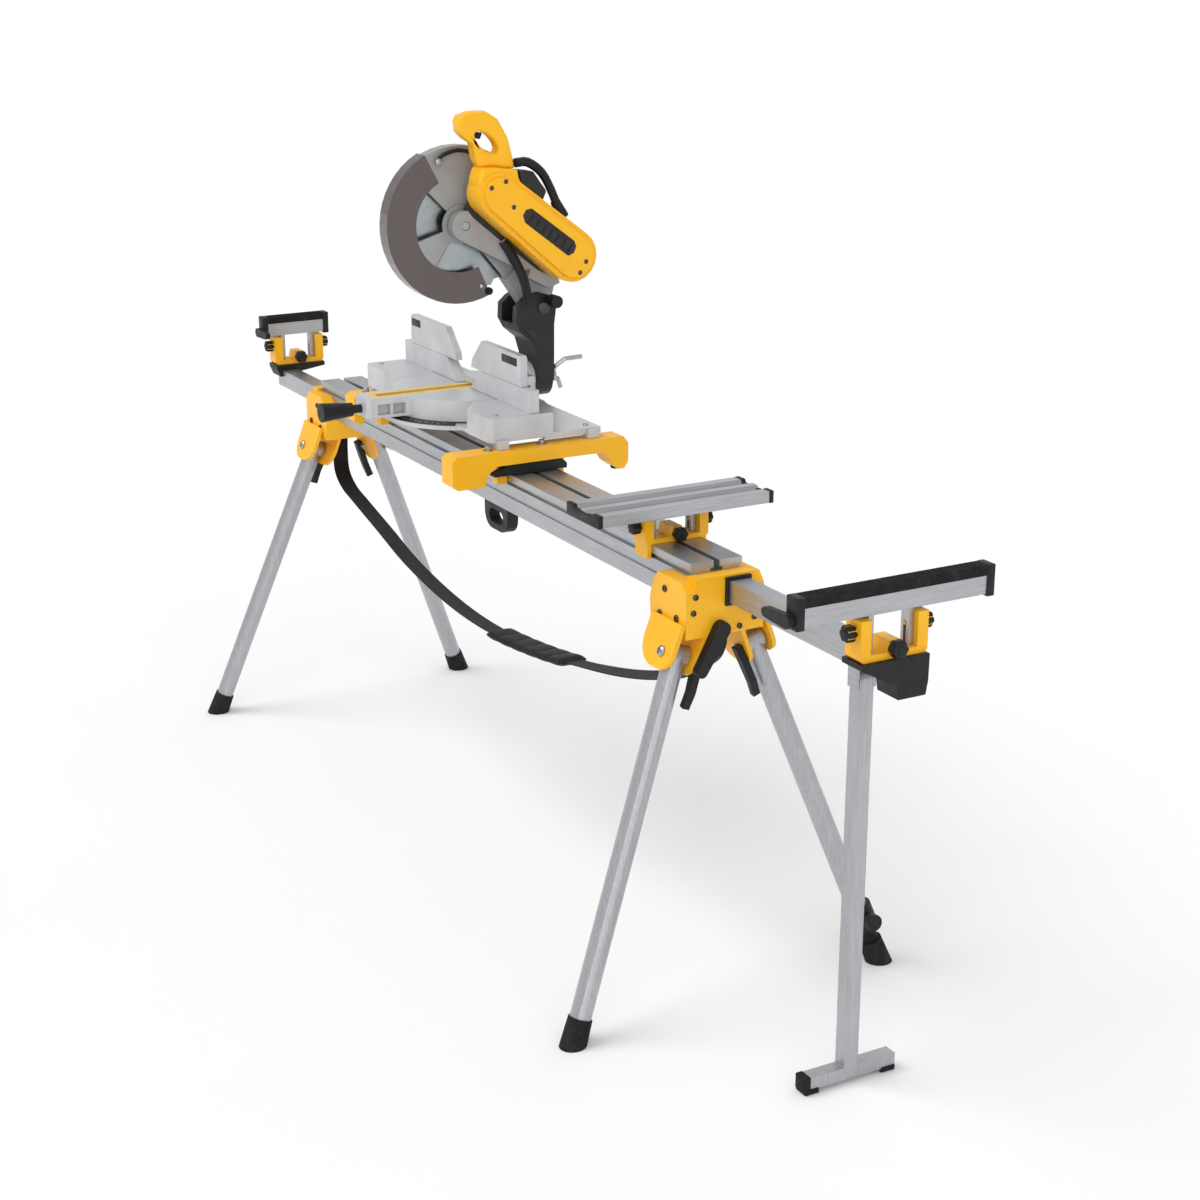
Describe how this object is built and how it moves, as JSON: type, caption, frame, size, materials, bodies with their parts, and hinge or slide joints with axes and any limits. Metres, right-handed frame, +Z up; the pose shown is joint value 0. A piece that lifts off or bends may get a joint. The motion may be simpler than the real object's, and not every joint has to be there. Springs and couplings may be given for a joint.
{
  "type": "mitre saw on stand",
  "caption": "Tilting mitre saw with guarded blade and turntable on a folding beam stand with extending work supports, splayed legs and a T-foot prop.",
  "frame": {"origin": "on the floor, below the centre of the bounding box", "axes": "+X along the beam to the operator's right, towards the T-foot prop; +Y from the operator's side to the back; +Z up"},
  "size_m": [2.558, 0.7044, 1.498],
  "materials": {
    "bare_aluminium": "satin anodised",
    "cast_aluminium": "fine cast, painted light grey",
    "yellow_paint": "semi-gloss powder coat",
    "yellow_plastic": "semi-gloss moulded",
    "black_plastic": "textured",
    "black_paint": "satin",
    "black_rubber": "matt",
    "black_webbing": "woven",
    "steel": "brushed",
    "smoked_plastic": "tinted",
    "copper": "wound wire"
  },
  "bodies": {
    "stand": {"beam": "bare_aluminium", "hub_right": "yellow_paint", "hub_left": "yellow_paint", "beam_carry_grip": "black_plastic", "carry_strap": "black_webbing"},
    "saw_carriage": {"saw_mount_rail_right": "yellow_paint", "saw_mount_rail_left": "yellow_paint", "saw_base": "cast_aluminium", "fence_fixed": "cast_aluminium"},
    "turntable": {"turntable": "cast_aluminium", "kerf_plate": "yellow_paint"},
    "bevel_post": {"bevel_post": "black_paint"},
    "head": {"head_arm": "cast_aluminium", "motor_housing": "yellow_plastic", "main_handle": "yellow_plastic", "carry_handle": "black_plastic"},
    "lower_guard": {"lower_guard": "smoked_plastic"},
    "blade": {"blade": "steel"},
    "motor_rotor": {"motor_rotor": "copper"},
    "leg_front_right": {"leg_front_right": "bare_aluminium", "foot_front_right": "black_plastic"},
    "leg_back_right": {"leg_back_right": "bare_aluminium", "foot_clamp_back_right": "black_plastic"},
    "leg_front_left": {"leg_front_left": "bare_aluminium", "foot_front_left": "black_plastic"},
    "leg_back_left": {"leg_back_left": "bare_aluminium", "foot_back_left": "black_plastic"},
    "extension_right": {"extension_tube_right": "bare_aluminium", "extension_end_block_right": "black_plastic", "support_bracket_right": "yellow_paint"},
    "extension_left": {"extension_tube_left": "bare_aluminium", "extension_end_block_left": "black_plastic", "support_bracket_left": "yellow_paint"},
    "tee_leg": {"tee_leg": "bare_aluminium"},
    "wide_support": {"wide_support_bracket": "yellow_paint"},
    "wide_channel": {"wide_support_channel": "bare_aluminium"},
    "support_bar_right": {"support_bar_right": "bare_aluminium", "support_pad_right": "black_rubber"},
    "support_bar_left": {"support_bar_left": "bare_aluminium", "support_pad_left": "black_rubber"},
    "fence_slide_right": {"fence_slide_right": "cast_aluminium"},
    "fence_slide_left": {"fence_slide_left": "cast_aluminium"},
    "foot_back_right": {"foot_back_right": "black_plastic"},
    "flip_stop_right": {"flip_stop_right": "black_plastic"},
    "flip_stop_left": {"flip_stop_left": "black_plastic"},
    "mitre_lock_handle": {"mitre_lock_handle": "black_plastic"},
    "bevel_lock_lever": {"bevel_lock_lever": "steel"},
    "extension_lock_right": {"extension_lock_right": "black_plastic"},
    "extension_lock_left": {"extension_lock_left": "black_plastic"},
    "saw_mount_lever_right": {"saw_mount_lever_right": "black_plastic"},
    "saw_mount_lever_left": {"saw_mount_lever_left": "black_plastic"},
    "trigger": {"trigger": "black_plastic"},
    "head_lock_pin": {"head_lock_pin": "black_plastic"},
    "height_clamp_right": {"height_clamp_right": "black_plastic"},
    "height_clamp_left": {"height_clamp_left": "black_plastic"},
    "wide_support_clamp": {"wide_support_clamp": "black_plastic"},
    "leg_latch_front_right": {"leg_latch_front_right": "black_plastic"},
    "leg_latch_back_right": {"leg_latch_back_right": "black_plastic"},
    "leg_latch_front_left": {"leg_latch_front_left": "black_plastic"},
    "leg_latch_back_left": {"leg_latch_back_left": "black_plastic"}
  },
  "joints": [
    {"name": "chop", "type": "hinge", "parent": "bevel_post", "child": "head", "pos_m": [-0.267, 0.166, 1.085], "axis": [1, 0, 0], "range_deg": [0, 47.5], "stiffness_Nm_per_rad": 5, "springref_deg": -68.75},
    {"name": "lower_guard_swing", "type": "hinge", "parent": "head", "child": "lower_guard", "pos_m": [-0.267, -0.01, 1.268], "axis": [-1, 0, 0], "range_deg": [0, 120]},
    {"name": "mitre", "type": "hinge", "parent": "saw_carriage", "child": "turntable", "pos_m": [-0.267, 0, 0.93], "axis": [0, 0, -1], "range_deg": [-50, 50]},
    {"name": "bevel", "type": "hinge", "parent": "turntable", "child": "bevel_post", "pos_m": [-0.267, 0.17, 0.93], "axis": [0, -1, 0], "range_deg": [-45, 45]},
    {"name": "blade_spin", "type": "hinge", "parent": "head", "child": "blade", "pos_m": [-0.267, -0.01, 1.268], "axis": [1, 0, 0], "continuous": true},
    {"name": "saw_slide", "type": "slide", "parent": "stand", "child": "saw_carriage", "axis": [1, 0, 0], "range_m": [-0.15, 0.2]},
    {"name": "leg_fold_front_right", "type": "hinge", "parent": "stand", "child": "leg_front_right", "pos_m": [0.733, -0.078, 0.655], "axis": [0, 0.9352, -0.3541], "range_deg": [0, 94]},
    {"name": "leg_fold_back_right", "type": "hinge", "parent": "stand", "child": "leg_back_right", "pos_m": [0.733, 0.078, 0.655], "axis": [0, 0.9352, 0.3541], "range_deg": [0, 94]},
    {"name": "leg_fold_front_left", "type": "hinge", "parent": "stand", "child": "leg_front_left", "pos_m": [-0.947, -0.078, 0.655], "axis": [0, -0.9352, 0.3541], "range_deg": [0, 94]},
    {"name": "leg_fold_back_left", "type": "hinge", "parent": "stand", "child": "leg_back_left", "pos_m": [-0.947, 0.078, 0.655], "axis": [0, -0.9352, -0.3541], "range_deg": [0, 94]},
    {"name": "extension_slide_right", "type": "slide", "parent": "stand", "child": "extension_right", "axis": [1, 0, 0], "range_m": [-0.25, 0.15]},
    {"name": "extension_slide_left", "type": "slide", "parent": "stand", "child": "extension_left", "axis": [-1, 0, 0], "range_m": [-0.15, 0.3]},
    {"name": "tee_leg_fold", "type": "hinge", "parent": "extension_right", "child": "tee_leg", "pos_m": [1.137, 0.0245, 0.722], "axis": [0, -1, 0], "range_deg": [0, 75]},
    {"name": "wide_support_slide", "type": "slide", "parent": "stand", "child": "wide_support", "axis": [1, 0, 0], "range_m": [-0.2, 0.02]},
    {"name": "support_height_right", "type": "slide", "parent": "extension_right", "child": "support_bar_right", "axis": [0, 0, 1], "range_m": [0, 0.025]},
    {"name": "support_height_left", "type": "slide", "parent": "extension_left", "child": "support_bar_left", "axis": [0, 0, 1], "range_m": [0, 0.025]},
    {"name": "wide_support_height", "type": "slide", "parent": "wide_support", "child": "wide_channel", "axis": [0, 0, 1], "range_m": [0, 0.012]},
    {"name": "fence_slide_right", "type": "slide", "parent": "saw_carriage", "child": "fence_slide_right", "axis": [1, 0, 0], "range_m": [0, 0.135]},
    {"name": "fence_slide_left", "type": "slide", "parent": "saw_carriage", "child": "fence_slide_left", "axis": [-1, 0, 0], "range_m": [0, 0.135]},
    {"name": "foot_extension", "type": "slide", "parent": "leg_back_right", "child": "foot_back_right", "axis": [0.1163, 0.3517, -0.9289], "range_m": [0, 0.06]},
    {"name": "flip_stop_right", "type": "hinge", "parent": "support_bar_right", "child": "flip_stop_right", "pos_m": [1.24, -0.184, 0.883], "axis": [0, 1, 0], "range_deg": [0, 90]},
    {"name": "flip_stop_left", "type": "hinge", "parent": "support_bar_left", "child": "flip_stop_left", "pos_m": [-1.252, -0.086, 0.883], "axis": [0, -1, 0], "range_deg": [0, 90]},
    {"name": "mitre_lock", "type": "hinge", "parent": "turntable", "child": "mitre_lock_handle", "pos_m": [-0.267, -0.235, 0.906], "axis": [0, 1, 0], "range_deg": [-180, 0]},
    {"name": "bevel_lock", "type": "hinge", "parent": "turntable", "child": "bevel_lock_lever", "pos_m": [-0.267, 0.1915, 0.93], "axis": [0, 1, 0], "range_deg": [0, 40]},
    {"name": "extension_lock_right", "type": "hinge", "parent": "stand", "child": "extension_lock_right", "pos_m": [0.768, -0.012, 0.704], "axis": [-1, 0, 0], "range_deg": [0, 60]},
    {"name": "extension_lock_left", "type": "hinge", "parent": "stand", "child": "extension_lock_left", "pos_m": [-0.982, -0.012, 0.704], "axis": [-1, 0, 0], "range_deg": [0, 60]},
    {"name": "saw_mount_lever_right", "type": "hinge", "parent": "saw_carriage", "child": "saw_mount_lever_right", "pos_m": [0.051, 0.062, 0.8255], "axis": [0, 0, 1], "range_deg": [0, 40]},
    {"name": "saw_mount_lever_left", "type": "hinge", "parent": "saw_carriage", "child": "saw_mount_lever_left", "pos_m": [-0.585, 0.062, 0.8255], "axis": [0, 0, -1], "range_deg": [0, 40]},
    {"name": "trigger", "type": "hinge", "parent": "head", "child": "trigger", "pos_m": [-0.201, 0.0085, 1.454], "axis": [1, 0, 0], "range_deg": [0, 8], "stiffness_Nm_per_rad": 0.05, "springref_deg": -22.92},
    {"name": "head_lock_pin", "type": "slide", "parent": "bevel_post", "child": "head_lock_pin", "axis": [1, 0, 0], "range_m": [0, 0.01]},
    {"name": "height_clamp_right", "type": "hinge", "parent": "extension_right", "child": "height_clamp_right", "pos_m": [1.26, -0.008, 0.8183], "axis": [1, 0, 0], "range_deg": [-180, 0]},
    {"name": "height_clamp_left", "type": "hinge", "parent": "extension_left", "child": "height_clamp_left", "pos_m": [-1.232, 0.004, 0.8183], "axis": [1, 0, 0], "range_deg": [-180, 0]},
    {"name": "wide_support_clamp", "type": "hinge", "parent": "wide_support", "child": "wide_support_clamp", "pos_m": [0.605, 0, 0.8303], "axis": [1, 0, 0], "range_deg": [-180, 0]},
    {"name": "leg_latch_front_right", "type": "hinge", "parent": "leg_front_right", "child": "leg_latch_front_right", "pos_m": [0.747, -0.04127, 0.64751], "axis": [0, -0.9352, 0.3541], "range_deg": [0, 8], "stiffness_Nm_per_rad": 0.5, "springref_deg": -17.19},
    {"name": "leg_latch_back_right", "type": "hinge", "parent": "leg_back_right", "child": "leg_latch_back_right", "pos_m": [0.747, 0.04127, 0.64751], "axis": [0, 0.9352, 0.3541], "range_deg": [0, 8], "stiffness_Nm_per_rad": 0.5, "springref_deg": -17.19},
    {"name": "leg_latch_front_left", "type": "hinge", "parent": "leg_front_left", "child": "leg_latch_front_left", "pos_m": [-0.961, -0.04127, 0.64751], "axis": [0, -0.9352, 0.3541], "range_deg": [0, 8], "stiffness_Nm_per_rad": 0.5, "springref_deg": -17.19},
    {"name": "leg_latch_back_left", "type": "hinge", "parent": "leg_back_left", "child": "leg_latch_back_left", "pos_m": [-0.961, 0.04127, 0.64751], "axis": [0, 0.9352, 0.3541], "range_deg": [0, 8], "stiffness_Nm_per_rad": 0.5, "springref_deg": -17.19},
    {"name": "rotor_spin", "type": "hinge", "parent": "head", "child": "motor_rotor", "pos_m": [-0.221, 0.204, 1.2], "axis": [1, 0, 0], "continuous": true}
  ],
  "couplings": [
    {"joint": "lower_guard_swing", "follows": "chop", "ratio": 2.5},
    {"joint": "rotor_spin", "follows": "blade_spin", "ratio": 5}
  ]
}
